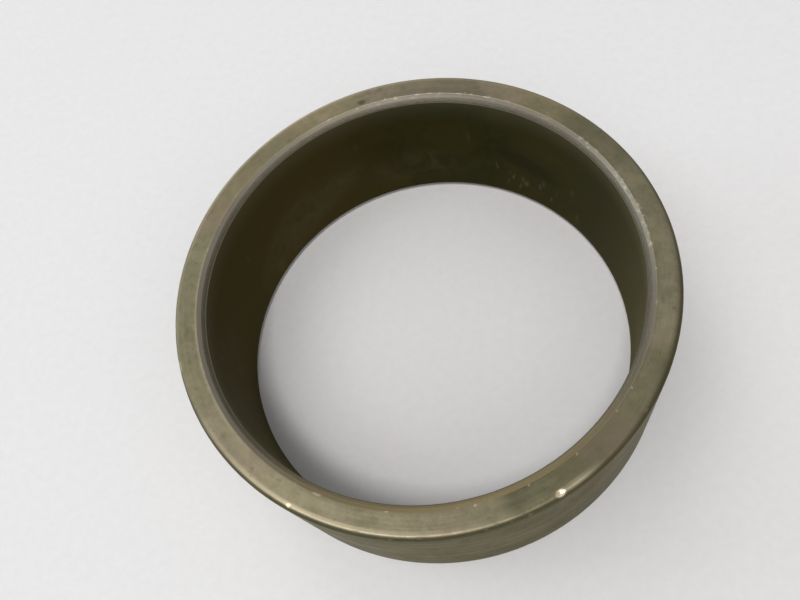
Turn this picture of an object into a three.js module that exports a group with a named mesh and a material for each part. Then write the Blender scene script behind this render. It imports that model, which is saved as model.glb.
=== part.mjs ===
// Plain cylindrical sleeve bushing: a turned bronze sleeve whose bore carries a
// self-lubricating lining, made of a sintered bronze layer and a thin dark running layer.
// The three layers are bonded into one ring. Nothing in the bushing moves: it is pressed
// into a housing by its outside, and a shaft turns in its bore.
//
// Frame: millimetres, +Z along the bore axis, origin at the centre of the lower end face.

import * as THREE from "three";

// ---------------------------------------------------------------- driving dimensions

const INCH = 25.4;

const OUTSIDE_DIAMETER = 2 * INCH;
const BORE_DIAMETER = 1.75 * INCH;
const LENGTH = (11 / 16) * INCH;

const RUNNING_LAYER_THICKNESS = 0.1;
const SINTERED_LAYER_THICKNESS = 0.3;

const BORE_CHAMFER = 0.76; // 45 degrees, on both ends, cut through all three layers
const LEAD_CHAMFER = 0.76; // 45 degrees, on the lower outside edge, which enters the housing first
const TOP_EDGE_RADIUS = 0.5; // the upper outside edge is rounded over

const TURNS = 96; // flats in one turn, shared by every layer so that their faces meet
const EDGE_STEPS = 4; // flats across the rounded edge

// ---------------------------------------------------------------- derived dimensions

const OUTSIDE_RADIUS = OUTSIDE_DIAMETER / 2;
const BORE_RADIUS = BORE_DIAMETER / 2;
const RUNNING_LAYER_BACK = BORE_RADIUS + RUNNING_LAYER_THICKNESS;
const SINTERED_LAYER_BACK = RUNNING_LAYER_BACK + SINTERED_LAYER_THICKNESS;
const CHAMFER_MOUTH_RADIUS = BORE_RADIUS + BORE_CHAMFER;

// ---------------------------------------------------------------- materials

const bronze = new THREE.MeshStandardMaterial({
  color: "#857c5c",
  roughness: 0.5,
  metalness: 0.9,
});

const sinteredBronze = new THREE.MeshStandardMaterial({
  color: "#8a7a60",
  roughness: 0.75,
  metalness: 0.7,
});

const runningLayer = new THREE.MeshStandardMaterial({
  color: "#2e2c1c",
  roughness: 0.6,
  metalness: 0.0,
});

// ---------------------------------------------------------------- geometry

// How far the bore chamfer cuts below an end face at a given radius.
function chamferDepth(radius) {
  return Math.max(0, CHAMFER_MOUTH_RADIUS - radius);
}

// A ring turned about +Z from an outline of [radius, height] points, which run
// counter-clockwise with the radius to the right. The outline is closed here.
function turnedRing(outline) {
  const points = [...outline, outline[0]].map(
    ([radius, height]) => new THREE.Vector2(radius, height),
  );
  return new THREE.LatheGeometry(points, TURNS).rotateX(Math.PI / 2);
}

// A lining layer between two radii, with both ends cut by the bore chamfer.
function liningLayer(insideRadius, backRadius) {
  const insideDepth = chamferDepth(insideRadius);
  const backDepth = chamferDepth(backRadius);
  return turnedRing([
    [insideRadius, insideDepth],
    [backRadius, backDepth],
    [backRadius, LENGTH - backDepth],
    [insideRadius, LENGTH - insideDepth],
  ]);
}

// The rounded upper outside edge, from the outside wall over to the end face.
function roundedTopEdge() {
  const edge = [];
  for (let step = 0; step <= EDGE_STEPS; step += 1) {
    const angle = (step / EDGE_STEPS) * (Math.PI / 2);
    edge.push([
      OUTSIDE_RADIUS - TOP_EDGE_RADIUS * (1 - Math.cos(angle)),
      LENGTH - TOP_EDGE_RADIUS * (1 - Math.sin(angle)),
    ]);
  }
  return edge;
}

// The bronze sleeve behind the lining, with its two flat end faces.
function sleeve() {
  const seatDepth = chamferDepth(SINTERED_LAYER_BACK);
  return turnedRing([
    [SINTERED_LAYER_BACK, seatDepth],
    [CHAMFER_MOUTH_RADIUS, 0],
    [OUTSIDE_RADIUS - LEAD_CHAMFER, 0],
    [OUTSIDE_RADIUS, LEAD_CHAMFER],
    ...roundedTopEdge(),
    [CHAMFER_MOUTH_RADIUS, LENGTH],
    [SINTERED_LAYER_BACK, LENGTH - seatDepth],
  ]);
}

function part(name, geometry, material) {
  const mesh = new THREE.Mesh(geometry, material);
  mesh.name = name;
  return mesh;
}

// ---------------------------------------------------------------- assembly

const group = new THREE.Group();

group.add(
  part("bronze_sleeve", sleeve(), bronze),
  part(
    "sintered_bronze_layer",
    liningLayer(RUNNING_LAYER_BACK, SINTERED_LAYER_BACK),
    sinteredBronze,
  ),
  part("running_layer", liningLayer(BORE_RADIUS, RUNNING_LAYER_BACK), runningLayer),
);

export default group;
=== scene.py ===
"""A bronze sleeve bushing with a dark self-lubricating bore, standing on one end on a pale floor.

The three bonded layers of the ring are swept from their own section outlines: the bronze sleeve,
the sintered bronze layer and the running layer. Nicks, dings, dents, a small pit and the slight
unevenness of a turned surface are in the meshes. Oxide, turning marks, scuffs, films and smears are
procedural materials, which find their places from tints stored on the meshes. Some of the tints
are painted light: highlights and a reflection along the rim, glints in two dings, shade on the
right of the rim and the outside wall, and a shadow streak in the bore.

Lengths are in millimetres and angles in degrees until they are handed to Blender. Only the floor
and the lights are given in metres. Angles round the ring are counted from +X towards +Y.
"""

import math
from types import SimpleNamespace

import bpy
import numpy as np
from mathutils import Euler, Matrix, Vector


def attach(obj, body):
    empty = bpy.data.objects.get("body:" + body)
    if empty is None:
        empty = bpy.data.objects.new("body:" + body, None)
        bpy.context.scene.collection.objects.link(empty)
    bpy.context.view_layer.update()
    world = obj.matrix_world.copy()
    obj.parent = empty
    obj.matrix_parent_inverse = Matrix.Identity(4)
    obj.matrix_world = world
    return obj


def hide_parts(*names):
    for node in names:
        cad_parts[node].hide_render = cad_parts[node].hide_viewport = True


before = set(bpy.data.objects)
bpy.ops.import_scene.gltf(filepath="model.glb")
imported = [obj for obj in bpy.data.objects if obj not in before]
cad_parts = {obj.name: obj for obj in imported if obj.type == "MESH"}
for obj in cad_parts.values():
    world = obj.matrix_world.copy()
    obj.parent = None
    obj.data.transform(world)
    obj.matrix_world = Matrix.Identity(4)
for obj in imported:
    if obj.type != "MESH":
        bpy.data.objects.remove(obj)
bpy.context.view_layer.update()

MM = 0.001

# ------------------------------------------------------------------ camera

VIEW_AZIMUTH = 24.02
VIEW_ELEVATION = 63.04
VIEW_ROLL = -21.66
VIEW_DISTANCE = 75.2
AIM = (-1.40, -2.58)  # where the camera's axis meets the plane of the upper end face
FOCAL_LENGTH = 34.32
NEAREST_SEEN = 5


def make_camera(height):
    """The camera looks down into the bore from close by, a little from one side and rolled."""
    data = bpy.data.cameras.new("camera")
    data.lens = FOCAL_LENGTH
    data.clip_start = NEAREST_SEEN * MM
    camera = bpy.data.objects.new("camera", data)
    turn = Euler((math.radians(90 - VIEW_ELEVATION), 0, math.radians(VIEW_AZIMUTH))).to_matrix()
    turn = turn @ Euler((0, 0, math.radians(VIEW_ROLL))).to_matrix()
    back = turn @ Vector((0, 0, 1))
    aim = Vector((AIM[0] * MM, AIM[1] * MM, height * MM))
    camera.matrix_world = turn.to_4x4()
    camera.location = aim + back * VIEW_DISTANCE * MM
    bpy.context.scene.collection.objects.link(camera)
    bpy.context.scene.camera = camera


# ------------------------------------------------------------------ sizes, read from the frame


def vertices(node):
    """A CAD node's vertices as rows of (radius, height)."""
    co = np.array([v.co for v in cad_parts[node].data.vertices]) / MM
    return np.column_stack([np.hypot(co[:, 0], co[:, 1]), co[:, 2]])


SLEEVE = vertices("bronze_sleeve")
LINING = vertices("running_layer")
KEY_LAYER = vertices("sintered_bronze_layer")
FLAT = 0.001  # points this close to a plane are on it

LENGTH = SLEEVE[:, 1].max()
OUTSIDE = SLEEVE[:, 0].max()
BORE = LINING[:, 0].min()
LINING_BACK = LINING[:, 0].max()
KEY_BACK = KEY_LAYER[:, 0].max()
UPPER_FACE = SLEEVE[SLEEVE[:, 1] > LENGTH - FLAT, 0]
LOWER_FACE = SLEEVE[SLEEVE[:, 1] < FLAT, 0]
MOUTH = UPPER_FACE.min()
TOP_EDGE = OUTSIDE - UPPER_FACE.max()
LEAD_CHAMFER = OUTSIDE - LOWER_FACE.max()

make_camera(LENGTH)

# ------------------------------------------------------------------ section outlines

TURNS = 960  # steps in one turn of the ring
BROKEN_EDGE = 0.07  # radius of an edge broken by wear
FOOT_EDGE = 0.12  # radius of the edge between the lower end face and the lead chamfer
LEAD_EDGE = 0.3  # radius of the edge between the lead chamfer and the outside wall
JOINT_EDGE = 0.012  # radius of the edges along the joints between the layers
ARC_STEP = 0.05
UNDIVIDED = 2 * LENGTH  # a point spacing longer than any side, which leaves the side whole


def fillet(before, corner, after, radius):
    """Points of the arc that rounds a corner."""
    into = (corner - before) / np.linalg.norm(corner - before)
    away = (after - corner) / np.linalg.norm(after - corner)
    side = math.copysign(1, into[0] * away[1] - into[1] * away[0])
    turn = math.acos(float(np.clip(into @ away, -1, 1)))
    start = corner - into * radius * math.tan(turn / 2)
    centre = start + side * radius * np.array([-into[1], into[0]])
    spoke = start - centre
    steps = max(3, math.ceil(radius * turn / ARC_STEP))
    points = []
    for step in range(steps + 1):
        angle = side * turn * step / steps
        c, s = math.cos(angle), math.sin(angle)
        points.append(centre + np.array([c * spoke[0] - s * spoke[1], s * spoke[0] + c * spoke[1]]))
    return points


def outline(corners):
    """A closed outline of (radius, height) points. Each corner is (radius, height, fillet, step):
    the radius that rounds it, and the spacing of the points on the side that leaves it."""
    places = [np.array(c[:2], float) for c in corners]
    arcs = []
    for i, corner in enumerate(corners):
        arcs.append(fillet(places[i - 1], places[i], places[(i + 1) % len(places)], corner[2]))
    points = []
    for i, corner in enumerate(corners):
        points += arcs[i]
        start = arcs[i][-1]
        end = arcs[(i + 1) % len(arcs)][0]
        pieces = max(1, round(np.linalg.norm(end - start) / corner[3]))
        points += [start + (end - start) * k / pieces for k in range(1, pieces)]
    return np.array(points)


def chamfer_depth(radius):
    """How far the bore chamfer cuts below an end face at a radius."""
    return MOUTH - radius


def sleeve_outline():
    seat = chamfer_depth(KEY_BACK)
    return outline([
        (KEY_BACK, seat, JOINT_EDGE, 0.14),  # lower bore chamfer
        (MOUTH, 0, BROKEN_EDGE, 0.4),  # lower end face
        (OUTSIDE - LEAD_CHAMFER, 0, FOOT_EDGE, 0.24),  # lead chamfer
        (OUTSIDE, LEAD_CHAMFER, LEAD_EDGE, 0.6),  # outside wall
        (OUTSIDE, LENGTH, TOP_EDGE, 0.1),  # upper end face
        (MOUTH, LENGTH, BROKEN_EDGE, 0.09),  # upper bore chamfer
        (KEY_BACK, LENGTH - seat, JOINT_EDGE, UNDIVIDED),  # seat of the sintered layer
    ])


def layer_outline(inside, back, inside_step):
    """The outline of an inner layer, whose two ends lie in the bore chamfers."""
    low_in = chamfer_depth(inside)
    low_back = chamfer_depth(back)
    return outline([
        (inside, low_in, JOINT_EDGE, 0.05),  # lower end
        (back, low_back, JOINT_EDGE, UNDIVIDED),  # back
        (back, LENGTH - low_back, JOINT_EDGE, 0.05),  # upper end
        (inside, LENGTH - low_in, JOINT_EDGE, inside_step),  # inside
    ])


# ------------------------------------------------------------------ wear in the surface

# The tints are metal worn bright together with painted highlights, glints and a painted reflection,
# dirt together with painted shade, the bare metal of the cut chamfer, dark patina together with a
# painted shadow streak in the bore, brown film and scuffing.
TINTS = ("wear", "stain", "cut", "patina", "brown", "scuff")
TINT_REACH = 1.6  # makes a mark's tint reach full strength before the mark's middle
WAVES = 9
MOST_WAVES_ROUND = 24
WAVES_OVER = (0.1, 1.3)  # radians per millimetre along the outline


class Surface:
    """A ring's surface before it becomes a mesh: a grid of outline points by turns. Each tint is a
    grid of strengths, mostly from 0 to 1, that the material reads. A place on the outline is its
    length along the outline, which runs up the outside, in over the upper end and down the inside."""

    def __init__(self, points):
        ahead = np.roll(points, -1, axis=0) - points
        lengths = np.linalg.norm(ahead, axis=1)
        sides = np.column_stack([ahead[:, 1], -ahead[:, 0]]) / lengths[:, None]
        normals = sides + np.roll(sides, 1, axis=0)
        self.points = points
        self.normals = normals / np.linalg.norm(normals, axis=1)[:, None]
        self.along = np.concatenate([[0], np.cumsum(lengths)[:-1]])
        self.angles = np.arange(TURNS) * math.tau / TURNS
        self.depth = np.zeros((TURNS, len(points)))
        self.tints = {name: np.zeros_like(self.depth) for name in TINTS}

    def place(self, radius, height):
        """The place of the outline point nearest to (radius, height)."""
        gaps = np.hypot(self.points[:, 0] - radius, self.points[:, 1] - height)
        return self.along[gaps.argmin()]

    def turn_from(self, angle):
        """Each turn's angle from a given one, in radians from -pi to pi."""
        return (self.angles - math.radians(angle) + math.pi) % math.tau - math.pi

    def waviness(self, rng, height):
        """The slight unevenness of a worn surface, as a sum of slow waves round and across."""
        total = np.zeros_like(self.depth)
        for _ in range(WAVES):
            turns = rng.integers(1, MOST_WAVES_ROUND)
            over = rng.uniform(*WAVES_OVER)
            phase = rng.uniform(0, math.tau)
            total += np.cos(turns * self.angles[:, None] + over * self.along[None, :] + phase)
        self.depth += height * (0.5 + 0.5 * total / WAVES)

    def mark(self, angle, where, width, across, depth=0.0, slant=0.0, **tints):
        """A nick, dent or stain with soft sides, centred at an angle and a place. It is width long
        round the ring and across wide, and turned by slant. Each tint is given its strength."""
        round_it = self.turn_from(angle)[:, None] * self.points[:, 0][None, :]
        over_it = np.broadcast_to(self.along[None, :] - where, round_it.shape)
        c, s = math.cos(math.radians(slant)), math.sin(math.radians(slant))
        u = (c * round_it + s * over_it) / (width / 2)
        v = (c * over_it - s * round_it) / (across / 2)
        soft = np.clip(1 - u * u - v * v, 0, 1) ** 2
        self.depth = np.maximum(self.depth, depth * soft)
        for name, strength in tints.items():
            tint = strength * np.minimum(1, TINT_REACH * soft)
            self.tints[name] = np.maximum(self.tints[name], tint)

    def scatter(self, rng, angles, where, drift, **measures):
        """A mark at each angle. How far it lies from where is drawn from the drift's (low, high)
        range, then each measure that is a range is drawn, in the order given. Numbers are kept."""
        for angle in angles:
            place = where + rng.uniform(*drift)
            drawn = {}
            for name, measure in measures.items():
                drawn[name] = rng.uniform(*measure) if isinstance(measure, tuple) else measure
            self.mark(angle, place, **drawn)

    def band(self, name, where, across, strength):
        """A soft-sided band of one tint along the ring. Strength is a number, or one per turn."""
        over_it = np.clip(1 - ((self.along - where) / (across / 2)) ** 2, 0, 1)
        round_it = np.broadcast_to(strength, TURNS)
        self.tints[name] = np.maximum(self.tints[name], round_it[:, None] * over_it[None, :])

    def rub(self, name, where, across, angle, spread, strength):
        """A band of one tint that is strongest at an angle."""
        away = self.turn_from(angle) / math.radians(spread)
        self.band(name, where, across, strength * np.exp(-(away ** 2)))

    def cover(self, name, strength):
        """Adds a tint all round the ring, with its own strength at each outline point."""
        self.tints[name] += strength[None, :]

    def film(self, angle, spread):
        """A brown film on one side of the ring, strongest at an angle."""
        away = self.turn_from(angle) / math.radians(spread)
        self.tints["brown"] += np.exp(-(away ** 4))[:, None]

    def mesh(self, name):
        """The ring as a smooth-shaded mesh object, with its tints as attributes."""
        reach = self.points[None, :, :] - self.depth[:, :, None] * self.normals[None, :, :]
        x = reach[:, :, 0] * np.cos(self.angles)[:, None]
        y = reach[:, :, 0] * np.sin(self.angles)[:, None]
        co = np.stack([x, y, reach[:, :, 1]], axis=2).reshape(-1, 3) * MM
        count = len(self.points)
        turn, point = np.meshgrid(np.arange(TURNS), np.arange(count), indexing="ij")
        next_turn = (turn + 1) % TURNS
        next_point = (point + 1) % count
        faces = np.stack([
            turn * count + point,
            next_turn * count + point,
            next_turn * count + next_point,
            turn * count + next_point,
        ], axis=2).reshape(-1, 4)
        data = bpy.data.meshes.new(name)
        data.from_pydata(co.tolist(), [], faces.tolist())
        data.polygons.foreach_set("use_smooth", np.ones(len(faces), bool))
        lathe = np.broadcast_to(self.along[None, :], self.depth.shape)
        for key, values in {"lathe": lathe, **self.tints}.items():
            attribute = data.attributes.new(key, "FLOAT", "POINT")
            attribute.data.foreach_set("value", values.ravel().astype(np.float32))
        made = bpy.data.objects.new(name, data)
        bpy.context.scene.collection.objects.link(made)
        return made


# ------------------------------------------------------------------ the bronze sleeve

SLEEVE_SEED = 11
SLEEVE_UNEVENNESS = 0.008
CHAMFER_FILM = (283, 48)  # the angle and spread of the brown film in the bore chamfer
WALL_PATINA_REACH = 0.42  # how far in over the upper edge the wall's patina reaches
WALL_PATINA_FADE = 0.3
PATCH_ACROSS = 9  # wider than the end face, so that a patch covers it
ROW_START = 8  # where the row of nicks on the bore mouth starts
ROW_SPAN = 100
ROW_CROWDING = 1.4  # 1 spaces the row evenly, and more crowds it at its start

# Patches on the end face: angle, length round the ring and tints.
FACE_PATCHES = (
    (42, 14, {"patina": 0.3}),
    (60, 14, {"brown": 0.18}),
    (87, 14, {"patina": 0.3}),
    (123, 16, {"brown": 0.2}),
    (137, 12, {"stain": 0.2}),
    (150, 18, {"brown": 0.16, "stain": 0.18}),
    (165, 14, {"patina": 0.18}),
    (196, 28, {"patina": 0.38}),
    (224, 14, {"patina": 0.25}),
    (285, 12, {"patina": 0.22}),
    (303, 15, {"patina": 0.7}),
    (315, 13, {"patina": 0.6, "stain": 0.26}),
    (329, 20, {"patina": 0.6}),
)


def sleeve_places(surface):
    """The places of the sleeve's edges and visible surfaces, each at its middle."""
    return SimpleNamespace(
        chamfer=surface.place((KEY_BACK + MOUTH) / 2, LENGTH - chamfer_depth(KEY_BACK) / 2),
        mouth=surface.place(MOUTH, LENGTH),
        face=surface.place((MOUTH + OUTSIDE) / 2, LENGTH),
        rim=surface.place(OUTSIDE - TOP_EDGE / 2, LENGTH - TOP_EDGE / 2),
        wall=surface.place(OUTSIDE, LENGTH / 2),
        foot=surface.place(OUTSIDE, LEAD_CHAMFER),
    )


def tint_sleeve(surface, at):
    """The cut bore chamfer with its brown film, the wall's patina, and patches on the end face."""
    radii = surface.points[:, 0]
    surface.cover("cut", radii < MOUTH)
    over_edge = radii - OUTSIDE + WALL_PATINA_REACH
    surface.cover("patina", np.clip(over_edge / WALL_PATINA_FADE, 0, 1))
    surface.film(*CHAMFER_FILM)
    surface.tints["brown"] *= surface.tints["cut"]
    for angle, width, tints in FACE_PATCHES:
        surface.mark(angle, at.face, width, PATCH_ACROSS, **tints)


def sleeve_bands(surface, at):
    """Edges rubbed bright by handling in places, with painted highlights and a painted reflection
    along the rim; a lighter band in the chamfer on the left; dirt in other places; and painted shade
    on the right of the rim and the outside wall.
    """
    # Partly metal rubbed bright, partly a painted reflection of the floor along the far side of the
    # rim.
    surface.rub("wear", at.rim, across=1.0, angle=115, spread=75, strength=0.42)
    # Partly metal rubbed bright, partly a painted highlight along the near side of the rim.
    surface.rub("wear", at.rim + 0.4, across=0.65, angle=252, spread=30, strength=0.27)
    # A painted highlight streak along the rim beside the ding at 304 degrees.
    surface.rub("wear", at.rim + 0.35, across=0.8, angle=308, spread=4, strength=0.25)
    surface.rub("wear", at.mouth, across=0.3, angle=195, spread=35, strength=0.14)
    # Lightens the chamfer on the left side.
    surface.rub("wear", at.chamfer, across=1.0, angle=200, spread=30, strength=0.22)
    surface.rub("stain", at.chamfer, across=1.0, angle=354, spread=54, strength=0.38)
    surface.rub("stain", at.mouth + 0.1, across=1.2, angle=256, spread=24, strength=0.32)
    surface.rub("stain", at.mouth - 0.3, across=1.2, angle=90, spread=18, strength=0.15)
    # Painted shade on the right side of the rim.
    surface.rub("stain", at.rim, across=1.3, angle=342, spread=42, strength=0.65)
    # Painted shade on the right side of the outside wall.
    surface.rub("stain", at.wall, across=14, angle=324, spread=28, strength=0.34)


def nick_upper_end(surface, at, rng):
    """Small nicks on the edges of the upper end, and marks and blotches on its face."""
    # A row along one side of the bore mouth, where a shaft was pushed in askew.
    row = ROW_START + ROW_SPAN * rng.uniform(0, 1, 64) ** ROW_CROWDING
    surface.scatter(rng, row, at.mouth, (-0.08, 0.35), width=(0.2, 0.7), across=(0.2, 0.5),
                    depth=(0.01, 0.05), cut=(0.2, 0.8), wear=(0.0, 0.3))
    # Nicks on the bore mouth, nicks on the outer edge, marks and blotches, all round.
    surface.scatter(rng, rng.uniform(0, 360, 40), at.mouth, (-0.1, 0.1), width=(0.1, 0.4),
                    across=(0.1, 0.3), depth=(0.01, 0.04), wear=(0.1, 0.6))
    surface.scatter(rng, rng.uniform(0, 360, 60), at.rim, (-0.25, 0.25), width=(0.2, 0.7),
                    across=(0.15, 0.5), depth=(0.01, 0.05), wear=(0.0, 0.14))
    surface.scatter(rng, rng.uniform(0, 360, 90), at.face, (-0.8, 0.8), width=(0.12, 0.5),
                    across=(0.12, 0.3), depth=(0.008, 0.03), slant=(0, 180), stain=(0, 0.7))
    surface.scatter(rng, rng.uniform(0, 360, 34), at.face, (-0.9, 0.9), width=(0.7, 1.9),
                    across=(0.5, 1.1), slant=(-40, 40), stain=(0.05, 0.28))


def ding_upper_end(surface, at):
    """The larger marks: two dings on the outer edge, whose bright metal is partly a painted glint, two
    rubbed places and a pit in the face.
    """
    # Fresh metal in the two dings, partly painted glints.
    surface.mark(304, at.rim + 0.3, width=1.2, across=0.9, depth=0.05, wear=0.9)
    surface.mark(246.5, at.rim + 0.3, width=0.7, across=0.6, depth=0.04, wear=0.8)
    surface.mark(251, at.mouth, width=1.2, across=0.5, depth=0.03, wear=0.35)
    surface.mark(203, at.rim, width=2.2, across=0.6, depth=0.04, wear=0.5)
    surface.mark(109.3, at.face + 0.7, width=1.3, across=1.0, depth=0.05, stain=0.75)


def scuff_wall(surface, at, rng):
    """Dents from handling, scuffs from the housing that the bushing was pressed into, and a nicked
    and rubbed edge above the lead chamfer."""
    surface.scatter(rng, rng.uniform(0, 360, 46), at.wall, (-7, 7), width=(0.5, 2.4),
                    across=(1.2, 2.4), depth=(0.01, 0.05), slant=(-20, 20), stain=(0, 0.6))
    surface.scatter(rng, rng.uniform(0, 360, 30), at.wall, (-6, 6), width=(10, 34),
                    across=(2.5, 8), slant=(-10, 10), scuff=(0.15, 0.7))
    surface.band("scuff", at.foot, across=1.6, strength=0.45)
    surface.scatter(rng, rng.uniform(0, 360, 40), at.foot, (-0.3, 0.1), width=(0.2, 0.8),
                    across=(0.3, 0.5), depth=(0.01, 0.04), wear=(0.0, 0.12))


def bronze_surface():
    rng = np.random.default_rng(SLEEVE_SEED)
    surface = Surface(sleeve_outline())
    surface.waviness(rng, SLEEVE_UNEVENNESS)
    at = sleeve_places(surface)
    tint_sleeve(surface, at)
    sleeve_bands(surface, at)
    nick_upper_end(surface, at, rng)
    ding_upper_end(surface, at)
    scuff_wall(surface, at, rng)
    return surface


# ------------------------------------------------------------------ the two inner layers

KEY_SEED = 12
GRAIN = 0.006  # unevenness of the sintered grains

LINING_SEED = 13
LINING_UNEVENNESS = 0.006
BORE_STEP = 0.6
BORE_FILM = (160, 50)  # the angle and spread of the brown film in the bore
WORN_END = 0.35  # how worn the end of the running layer is, where the chamfer cuts it
PALE_TOP_HEIGHT = 3.2  # height of the paler band at the top of the bore
PALE_TOP_STRENGTH = 0.2  # how pale that band is at its top


def sintered_surface():
    """The porous layer shows only at its ends, where dirt darkens it towards the bore."""
    rng = np.random.default_rng(KEY_SEED)
    surface = Surface(layer_outline(LINING_BACK, KEY_BACK, UNDIVIDED))
    surface.depth += GRAIN * rng.random(surface.depth.shape)
    surface.cover("stain", (KEY_BACK - surface.points[:, 0]) / (KEY_BACK - LINING_BACK))
    surface.film(*CHAMFER_FILM)
    return surface


def running_surface():
    """The bore, with a paler band at its top, faint smears, a darker patch, a painted shadow streak
    and specks low on one side.
    """
    rng = np.random.default_rng(LINING_SEED)
    surface = Surface(layer_outline(BORE, LINING_BACK, BORE_STEP))
    surface.waviness(rng, LINING_UNEVENNESS)
    middle = surface.place(BORE, LENGTH / 2)
    below_edge = LENGTH - chamfer_depth(BORE) - surface.points[:, 1]
    surface.cover("wear", WORN_END * (below_edge < FLAT))
    # A paler band at the top of the bore.
    surface.cover("wear", PALE_TOP_STRENGTH * np.clip(1 - below_edge / PALE_TOP_HEIGHT, 0, 1) ** 1.5)
    surface.film(*BORE_FILM)
    surface.scatter(rng, rng.uniform(0, 360, 30), middle, (-6, 6), width=(0.3, 0.9),
                    across=(1.2, 3), depth=(0.005, 0.02), wear=(0, 0.12))
    surface.mark(98, middle + 4, width=18, across=9, stain=0.5)
    surface.mark(140, middle + 4.5, width=26, across=7, slant=20, stain=0.8)
    surface.mark(147, middle + 3.5, width=20, across=9, slant=25, stain=0.7)
    surface.mark(205, middle + 1, width=24, across=14, stain=0.4)
    # A darker patch on the right of the bore, and a painted shadow streak across its far side.
    surface.mark(15, middle, width=30, across=30, patina=0.7)
    surface.mark(62, middle + 1, width=14, across=4, slant=-12, patina=0.8)
    surface.scatter(rng, rng.uniform(50, 72, 12), middle, (2.5, 6.5), width=(0.25, 0.8),
                    across=(1.1, 1.8), slant=(-30, 30), depth=0.01, wear=(0.05, 0.4))
    return surface


# ------------------------------------------------------------------ building materials

# Colours are linear. A noise's scale is in features per metre, or per unit of a lathe vector.


def add(material, kind, settings=None, **sockets):
    """Adds a node. settings are its properties; sockets are its inputs, by name with _ for a space
    or by number after an i, each a value or another node's output."""
    node = material.node_tree.nodes.new("ShaderNode" + kind)
    for key, value in (settings or {}).items():
        setattr(node, key, value)
    for key, value in sockets.items():
        number = key[1:]
        socket = node.inputs[int(number)] if number.isdigit() else node.inputs[key.replace("_", " ")]
        if isinstance(value, bpy.types.NodeSocket):
            material.node_tree.links.new(value, socket)
        else:
            socket.default_value = value
    return node


def new_material(name):
    material = bpy.data.materials.new(name)
    material.use_nodes = True
    material.node_tree.nodes.clear()
    return material


def finish_material(material, shader):
    output = material.node_tree.nodes.new("ShaderNodeOutputMaterial")
    material.node_tree.links.new(shader.outputs["BSDF"], output.inputs["Surface"])
    return material


def attribute(material, name):
    return add(material, "Attribute", {"attribute_name": name}).outputs["Fac"]


def object_place(material):
    return add(material, "TexCoord").outputs["Object"]


def noise(material, vector, scale, detail, roughness=0.6, distortion=0.0):
    node = add(material, "TexNoise", Vector=vector, Scale=scale, Detail=detail,
               Roughness=roughness, Distortion=distortion)
    return node.outputs["Fac"]


def arithmetic(material, operation, a, b, clamp=False):
    settings = {"operation": operation, "use_clamp": clamp}
    return add(material, "Math", settings, i0=a, i1=b).outputs[0]


def times(material, a, b):
    return arithmetic(material, "MULTIPLY", a, b)


def plus(material, a, b):
    return arithmetic(material, "ADD", a, b)


def minus(material, a, b):
    return arithmetic(material, "SUBTRACT", a, b)


def remap(material, value, low, high, to_low=0.0, to_high=1.0):
    return add(material, "MapRange", i0=value, i1=low, i2=high, i3=to_low, i4=to_high).outputs[0]


def blend(material, factor, a, b):
    """A mix of two colours."""
    node = add(material, "Mix", {"data_type": "RGBA"}, i0=factor)
    for socket, value in ((node.inputs[6], a), (node.inputs[7], b)):
        if isinstance(value, bpy.types.NodeSocket):
            material.node_tree.links.new(value, socket)
        else:
            socket.default_value = (*value, 1.0)
    return node.outputs[2]


def fleck(material, colour, field, start, end, strength, over):
    """The colour with another one over it, which goes from nothing to a strength as a field goes
    from start to end."""
    return blend(material, remap(material, field, start, end, 0.0, strength), colour, over)


def coat(material, colour, tint, strength, over):
    """The colour with another one over it, as strong as a tint times a strength."""
    return blend(material, times(material, tint, strength), colour, over)


def bump(material, height, distance, strength):
    """A normal that follows a height. The distance is in millimetres."""
    node = add(material, "Bump", Strength=strength, Distance=distance * MM, Height=height)
    return node.outputs["Normal"]


def lathe_vector(material, per_mm, round_scale=1.5):
    """A vector that changes fast along the section outline, by per_mm for each millimetre, and
    slowly round the ring. A noise over it gives turning marks."""
    split = add(material, "SeparateXYZ", Vector=object_place(material))
    flat = add(material, "CombineXYZ", X=split.outputs["X"], Y=split.outputs["Y"]).outputs[0]
    spoke = add(material, "VectorMath", {"operation": "NORMALIZE"}, i0=flat).outputs[0]
    spoke = add(material, "VectorMath", {"operation": "SCALE"}, i0=spoke, Scale=round_scale).outputs[0]
    parts = add(material, "SeparateXYZ", Vector=spoke)
    lathe = times(material, attribute(material, "lathe"), per_mm)
    return add(material, "CombineXYZ", X=parts.outputs["X"], Y=parts.outputs["Y"], Z=lathe).outputs[0]


# ------------------------------------------------------------------ the bronze

OXIDE = ((0.130, 0.122, 0.073), (0.265, 0.238, 0.150))
TURNED_LINE = (0.32, 0.289, 0.186)
WARM_PATCH = (0.275, 0.216, 0.166)
DULL_PATCH = (0.165, 0.161, 0.098)
WARM_MOTTLE = (0.285, 0.230, 0.175)
DULL_MOTTLE = (0.142, 0.140, 0.082)

PATINA = ((0.047, 0.051, 0.023), (0.084, 0.089, 0.042))
PATINA_LINE = (0.140, 0.140, 0.072)
PATINA_BAND = (0.052, 0.046, 0.024)
PATINA_WARM_PATCH = (0.098, 0.090, 0.048)
PATINA_DULL_PATCH = (0.048, 0.054, 0.032)
PATINA_MOTTLE = (0.138, 0.121, 0.068)
SCUFFED_PATINA = (0.385, 0.34, 0.175)

CUT_BRONZE = (0.395, 0.36, 0.295)
BROWN_FILM = (0.35, 0.268, 0.122)
DIRT_AND_PAINTED_SHADE = (0.075, 0.060, 0.034)
BRIGHT_METAL_AND_HIGHLIGHT = (0.80, 0.69, 0.49)
BRONZE_GLOSS = (0.6, 0.55, 0.42, 1.0)
TURNED_RELIEF = 0.03


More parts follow.
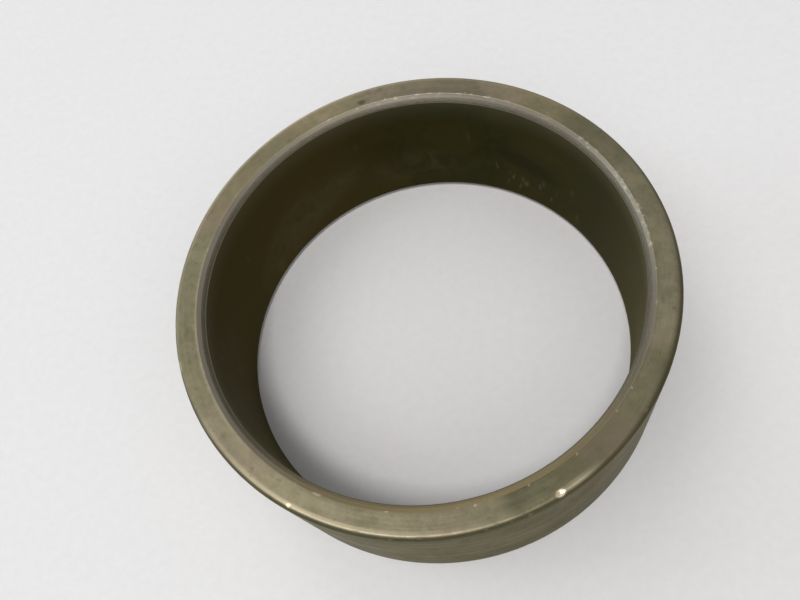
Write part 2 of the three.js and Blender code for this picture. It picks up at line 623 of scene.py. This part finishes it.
def oxide_colour(m, oxide, marks, patches, mottle):
    """Olive-brown oxide, thinner along the turning marks, with warm and dull patches."""
    colour = blend(m, oxide, *OXIDE)
    colour = fleck(m, colour, marks, 0.3, 0.7, 0.35, TURNED_LINE)
    colour = fleck(m, colour, patches, 0.50, 0.66, 0.6, WARM_PATCH)
    colour = fleck(m, colour, patches, 0.50, 0.34, 0.45, DULL_PATCH)
    colour = fleck(m, colour, mottle, 0.54, 0.72, 0.6, WARM_MOTTLE)
    return fleck(m, colour, mottle, 0.46, 0.30, 0.45, DULL_MOTTLE)


def patina_colour(m, oxide, marks, bands, patches, mottle):
    """The darker patina of the outside wall and of a few patches of the end face."""
    colour = blend(m, oxide, *PATINA)
    colour = fleck(m, colour, marks, 0.38, 0.70, 0.5, PATINA_LINE)
    colour = fleck(m, colour, bands, 0.52, 0.70, 0.5, PATINA_BAND)
    colour = fleck(m, colour, patches, 0.50, 0.66, 0.6, PATINA_WARM_PATCH)
    colour = fleck(m, colour, patches, 0.48, 0.34, 0.5, PATINA_DULL_PATCH)
    return fleck(m, colour, mottle, 0.56, 0.72, 0.45, PATINA_MOTTLE)


def bronze_material():
    m = new_material("aged_bronze")
    place = object_place(m)
    clouds = noise(m, place, 170, detail=5, roughness=0.62, distortion=0.4)
    specks = noise(m, place, 1500, detail=6, roughness=0.7)
    mottle = noise(m, place, 620, detail=3, roughness=0.6, distortion=0.3)
    patches = noise(m, place, 95, detail=3, roughness=0.55, distortion=0.5)
    marks = noise(m, lathe_vector(m, 7.0), 1.0, detail=3, roughness=0.7)
    bands = noise(m, lathe_vector(m, 1.6, 3.0), 1.0, detail=2, roughness=0.5)
    wear, stain, cut, patina, brown, scuff = (attribute(m, name) for name in TINTS)

    oxide = remap(m, plus(m, times(m, clouds, 0.6), times(m, specks, 0.4)), 0.36, 0.62)
    scuffed = times(m, scuff, remap(m, marks, 0.47, 0.66, 0.0, 0.8))
    dark = patina_colour(m, oxide, marks, bands, patches, mottle)
    dark = blend(m, scuffed, dark, SCUFFED_PATINA)
    colour = coat(m, oxide_colour(m, oxide, marks, patches, mottle), patina, 0.85, dark)
    colour = coat(m, colour, cut, 0.8, CUT_BRONZE)
    colour = coat(m, colour, brown, 0.9, BROWN_FILM)
    # Dirt, and painted shade on the right of the rim and the outside wall.
    colour = blend(m, stain, colour, DIRT_AND_PAINTED_SHADE)
    # Metal worn bright, with painted highlights, a painted reflection and painted glints along the
    # rim.
    colour = blend(m, wear, colour, BRIGHT_METAL_AND_HIGHLIGHT)

    rough = remap(m, oxide, 0.0, 1.0, 0.52, 0.42)
    rough = minus(m, rough, times(m, wear, 0.24))
    rough = minus(m, rough, times(m, cut, 0.06))
    rough = minus(m, rough, times(m, scuffed, 0.14))
    rough = minus(m, rough, remap(m, marks, 0.45, 0.7, 0.0, 0.08))
    metal = remap(m, cut, 0.0, 1.0, 0.5, 0.6)
    metal = plus(m, metal, times(m, patina, 0.3))
    metal = plus(m, metal, times(m, wear, 0.4))
    metal = arithmetic(m, "SUBTRACT", metal, times(m, brown, 0.5), clamp=True)

    height = plus(m, times(m, marks, 0.6), times(m, specks, 0.35))
    height = plus(m, height, times(m, bands, 0.6))
    normal = bump(m, height, TURNED_RELIEF, 0.6)
    tangent = add(m, "Tangent", {"direction_type": "RADIAL", "axis": "Z"}).outputs["Tangent"]
    shader = add(m, "BsdfPrincipled", Base_Color=colour, Metallic=metal, Roughness=rough,
                 Specular_Tint=BRONZE_GLOSS, Normal=normal, Tangent=tangent, Anisotropic=0.5)
    return finish_material(m, shader)


# ------------------------------------------------------------------ the inner layers and the floor

GRAIN_MIDDLE = (0.33, 0.30, 0.245)
GRAIN_EDGE = (0.19, 0.172, 0.138)
GRAIN_CLOUD = (0.26, 0.238, 0.195)
GRAIN_DIRT = (0.085, 0.072, 0.040)
GRAIN_FILM = (0.34, 0.265, 0.120)
GRAIN_RELIEF = 0.03

LUBRICANT = ((0.019, 0.0185, 0.0045), (0.034, 0.032, 0.008))
LUBRICANT_FILM = (0.063, 0.043, 0.011)
DARK_LUBRICANT_AND_SHADOW = (0.012, 0.0125, 0.004)
BRONZE_SPECK = (0.14, 0.12, 0.07)
SMEAR = (0.085, 0.070, 0.040)
PALE_LUBRICANT = (0.22, 0.20, 0.14)
LUBRICANT_SHEEN = (1.0, 0.86, 0.38, 1.0)
LUBRICANT_RELIEF = 0.02

PAPER = ((0.80, 0.80, 0.80), (0.84, 0.84, 0.84))
PAPER_RELIEF = 0.03


def sintered_material():
    m = new_material("sintered_bronze")
    place = object_place(m)
    grains = add(m, "TexVoronoi", Vector=place, Scale=9000.0).outputs["Distance"]
    clouds = noise(m, place, 600, detail=4)
    dirt = remap(m, attribute(m, "stain"), 0.0, 1.0, 0.1, 0.55)
    brown = attribute(m, "brown")
    colour = blend(m, remap(m, grains, 0.1, 0.8), GRAIN_MIDDLE, GRAIN_EDGE)
    colour = fleck(m, colour, clouds, 0.4, 0.7, 0.5, GRAIN_CLOUD)
    colour = blend(m, dirt, colour, GRAIN_DIRT)
    colour = coat(m, colour, brown, 0.6, GRAIN_FILM)
    metal = remap(m, brown, 0.0, 1.0, 0.9, 0.5)
    rough = remap(m, clouds, 0.3, 0.7, 0.48, 0.62)
    shader = add(m, "BsdfPrincipled", Base_Color=colour, Metallic=metal, Roughness=rough,
                 Normal=bump(m, grains, GRAIN_RELIEF, 0.4))
    return finish_material(m, shader)


def running_material():
    m = new_material("running_lining")
    place = object_place(m)
    clouds = noise(m, place, 140, detail=4, roughness=0.6, distortion=0.6)
    specks = noise(m, place, 2400, detail=5, roughness=0.7)
    smears = noise(m, place, 330, detail=5, roughness=0.62, distortion=1.2)
    marks = noise(m, lathe_vector(m, 5.0), 1.0, detail=3, roughness=0.65)
    smeared = times(m, attribute(m, "stain"), remap(m, smears, 0.38, 0.68, 0.15, 0.75))
    colour = blend(m, remap(m, clouds, 0.35, 0.65), *LUBRICANT)
    colour = coat(m, colour, attribute(m, "brown"), 0.7, LUBRICANT_FILM)
    # Darker lubricant, and a painted shadow streak.
    colour = coat(m, colour, attribute(m, "patina"), 0.7, DARK_LUBRICANT_AND_SHADOW)
    colour = fleck(m, colour, specks, 0.66, 0.8, 0.35, BRONZE_SPECK)
    colour = blend(m, smeared, colour, SMEAR)
    # Paler lubricant on worn specks, at the cut end and in the band at the top of the bore.
    colour = blend(m, attribute(m, "wear"), colour, PALE_LUBRICANT)
    rough = remap(m, clouds, 0.3, 0.7, 0.48, 0.66)
    height = plus(m, times(m, marks, 0.6), times(m, specks, 0.4))
    shader = add(m, "BsdfPrincipled", Base_Color=colour, Roughness=rough, Specular_IOR_Level=0.01,
                 Sheen_Weight=0.10, Sheen_Roughness=0.4, Sheen_Tint=LUBRICANT_SHEEN,
                 Normal=bump(m, height, LUBRICANT_RELIEF, 0.5))
    return finish_material(m, shader)


def floor_material():
    m = new_material("pale_paper")
    fibres = noise(m, object_place(m), 900, detail=6, roughness=0.7)
    colour = blend(m, remap(m, fibres, 0.3, 0.7), *PAPER)
    shader = add(m, "BsdfPrincipled", Base_Color=colour, Roughness=0.9,
                 Normal=bump(m, fibres, PAPER_RELIEF, 0.15))
    return finish_material(m, shader)


# ------------------------------------------------------------------ the pieces


def show(surface, name, node, material):
    """Makes a surface into a piece that stands for a CAD node."""
    piece = surface.mesh(name)
    piece.data.materials.append(material)
    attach(piece, "root")
    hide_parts(node)


show(bronze_surface(), "turned_bronze_sleeve", "bronze_sleeve", bronze_material())
show(sintered_surface(), "sintered_key_layer", "sintered_bronze_layer",
     sintered_material())
show(running_surface(), "worn_running_layer", "running_layer", running_material())

# ------------------------------------------------------------------ floor and light

FLOOR_SIZE = 2.2

# Square area lights: name, azimuth, elevation, distance, size, power and colour.
LIGHTS = (
    ("key", 267, 76, 0.96, 0.17, 2.85, (1.0, 0.96, 0.95)),
    ("key_low", 205, 66, 0.90, 0.48, 1.26, (1.0, 0.965, 0.955)),
    ("high", 150, 66, 0.90, 0.48, 0.55, (1.0, 0.97, 0.96)),
    ("back", 115, 48, 0.96, 0.48, 0.60, (1.0, 0.97, 0.96)),
    ("side", 175, 22, 1.08, 0.48, 1.80, (0.92, 1.0, 1.05)),
    ("back_low", 130, 20, 1.08, 0.48, 1.26, (0.92, 1.0, 1.05)),
    ("right", 325, 45, 0.90, 0.48, 0.70, (1.0, 0.99, 0.95)),
    ("front", 270, 50, 0.90, 0.48, 0.80, (0.98, 0.98, 1.0)),
)
AMBIENT_COLOUR = (0.99, 1.0, 1.01)
AMBIENT_STRENGTH = 0.25


def make_floor():
    bpy.ops.mesh.primitive_plane_add(size=FLOOR_SIZE)
    floor = bpy.context.object
    floor.name = "floor"
    floor.data.materials.append(floor_material())


def make_light(name, azimuth, elevation, distance, size, power, colour):
    """A light that faces the bushing. It lights the scene but can't be seen itself."""
    data = bpy.data.lights.new(name, "AREA")
    data.shape = "SQUARE"
    data.size = size
    data.energy = power
    data.color = colour
    light = bpy.data.objects.new(name, data)
    a, e = math.radians(azimuth), math.radians(elevation)
    towards = Vector((math.cos(a) * math.cos(e), math.sin(a) * math.cos(e), math.sin(e)))
    light.location = towards * distance
    light.rotation_euler = towards.to_track_quat("Z", "Y").to_euler()
    light.visible_camera = False
    bpy.context.scene.collection.objects.link(light)


def make_world():
    world = bpy.data.worlds.new("studio")
    world.use_nodes = True
    background = world.node_tree.nodes["Background"]
    background.inputs["Color"].default_value = (*AMBIENT_COLOUR, 1.0)
    background.inputs["Strength"].default_value = AMBIENT_STRENGTH
    bpy.context.scene.world = world


make_floor()
for light in LIGHTS:
    make_light(*light)
make_world()
bpy.context.scene.view_settings.view_transform = "Standard"
